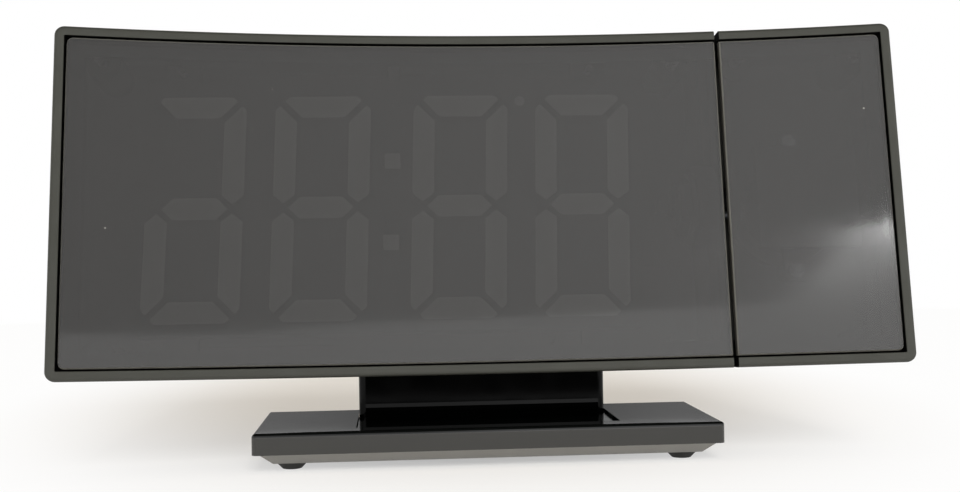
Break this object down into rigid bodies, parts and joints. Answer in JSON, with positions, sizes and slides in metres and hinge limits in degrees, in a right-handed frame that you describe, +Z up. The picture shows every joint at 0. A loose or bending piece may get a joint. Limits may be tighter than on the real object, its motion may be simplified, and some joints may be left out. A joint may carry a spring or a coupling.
{
  "type": "projection alarm clock",
  "caption": "Curved digital alarm clock on a low stand, with a projector end that turns on a hollow spindle and a turning focus ring.",
  "frame": {"origin": "on the table under the middle of the stand, which is the middle of the whole clock's box", "axes": "+X to the reader's right along the body, +Y away from the reader, +Z up"},
  "size_m": [0.1904, 0.0444, 0.0996],
  "materials": {
    "case_plastic": "satin",
    "smoked_window": "gloss",
    "gloss_stand": "gloss",
    "black_plastic": "matte",
    "segment_plastic": "satin",
    "circuit_board": "satin",
    "steel": "satin",
    "rubber": "matte",
    "cable": "matte",
    "lens_glass": "gloss",
    "lamp": "gloss",
    "slide_glass": "gloss"
  },
  "bodies": {
    "root": {"front_case": "case_plastic", "rear_cover": "case_plastic", "display_window": "smoked_window", "digit_block": "black_plastic", "digit_segments": "segment_plastic", "display_board": "circuit_board", "display_screws": "steel", "control_board": "circuit_board", "control_screws": "steel", "key_switches": "black_plastic", "speaker": "black_plastic", "cell_contact": "steel", "coin_cell": "steel", "power_inlet": "steel", "usb_socket": "steel", "case_screws": "steel", "main_lead": "cable", "swivel_plate": "black_plastic", "neck": "gloss_stand", "pad_screws": "steel", "base_shell": "gloss_stand", "tray": "case_plastic", "ballast": "steel", "rubber_feet": "rubber", "neck_screws": "steel", "base_screws": "steel"},
    "projector": {"projector_front_case": "case_plastic", "projector_rear_cover": "case_plastic", "projector_window": "smoked_window", "spindle": "steel", "spindle_screws": "steel", "swivel_washer": "steel", "swivel_nut": "steel", "projector_lead": "cable", "projector_screws": "steel", "lamp_board": "circuit_board", "lamp": "lamp", "optical_tube": "black_plastic", "optics_screws": "steel", "condenser_lens": "lens_glass", "clock_slide": "slide_glass"},
    "focus_ring": {"focus_ring": "black_plastic"},
    "lens_barrel": {"lens_barrel": "black_plastic", "projection_lens": "lens_glass"},
    "snooze_button": {"snooze_button": "black_plastic"},
    "battery_cap": {"battery_cap": "black_plastic"},
    "alarm_button": {"alarm_button": "black_plastic"},
    "time_button": {"time_button": "black_plastic"},
    "up_button": {"up_button": "black_plastic"},
    "down_button": {"down_button": "black_plastic"},
    "dimmer_button": {"dimmer_button": "black_plastic"},
    "projection_button": {"projection_button": "black_plastic"}
  },
  "joints": [
    {"name": "projector_turn", "type": "hinge", "parent": "root", "child": "projector", "pos_m": [0.05505, 0.00147, 0.05792], "axis": [1, 0, 0], "range_deg": [0, 180]},
    {"name": "focus_turn", "type": "hinge", "parent": "projector", "child": "focus_ring", "pos_m": [0.0757, 0.01355, 0.05596], "axis": [0, 0.9871, -0.1599], "range_deg": [0, 120]},
    {"name": "barrel_slide", "type": "slide", "parent": "projector", "child": "lens_barrel", "axis": [0, 0.9871, -0.1599], "range_m": [0, 0.002]},
    {"name": "cap_turn", "type": "hinge", "parent": "root", "child": "battery_cap", "pos_m": [-0.008, 0.01597, 0.05658], "axis": [0, 0.9871, -0.1599], "range_deg": [0, 45]},
    {"name": "snooze_press", "type": "slide", "parent": "root", "child": "snooze_button", "axis": [0, -0.1599, -0.9871], "range_m": [0, 0.0006], "stiffness_N_per_m": 900},
    {"name": "alarm_press", "type": "slide", "parent": "root", "child": "alarm_button", "axis": [0, -0.9871, 0.1599], "range_m": [0, 0.0006], "stiffness_N_per_m": 900},
    {"name": "time_press", "type": "slide", "parent": "root", "child": "time_button", "axis": [0, -0.9871, 0.1599], "range_m": [0, 0.0006], "stiffness_N_per_m": 900},
    {"name": "up_press", "type": "slide", "parent": "root", "child": "up_button", "axis": [0, -0.9871, 0.1599], "range_m": [0, 0.0006], "stiffness_N_per_m": 900},
    {"name": "down_press", "type": "slide", "parent": "root", "child": "down_button", "axis": [0, -0.9871, 0.1599], "range_m": [0, 0.0006], "stiffness_N_per_m": 900},
    {"name": "dimmer_press", "type": "slide", "parent": "root", "child": "dimmer_button", "axis": [0, -0.9871, 0.1599], "range_m": [0, 0.0006], "stiffness_N_per_m": 900},
    {"name": "projection_press", "type": "slide", "parent": "root", "child": "projection_button", "axis": [0, -0.9871, 0.1599], "range_m": [0, 0.0006], "stiffness_N_per_m": 900}
  ],
  "couplings": [
    {"joint": "barrel_slide", "follows": "focus_turn", "m_per_rad": 0.00095}
  ]
}
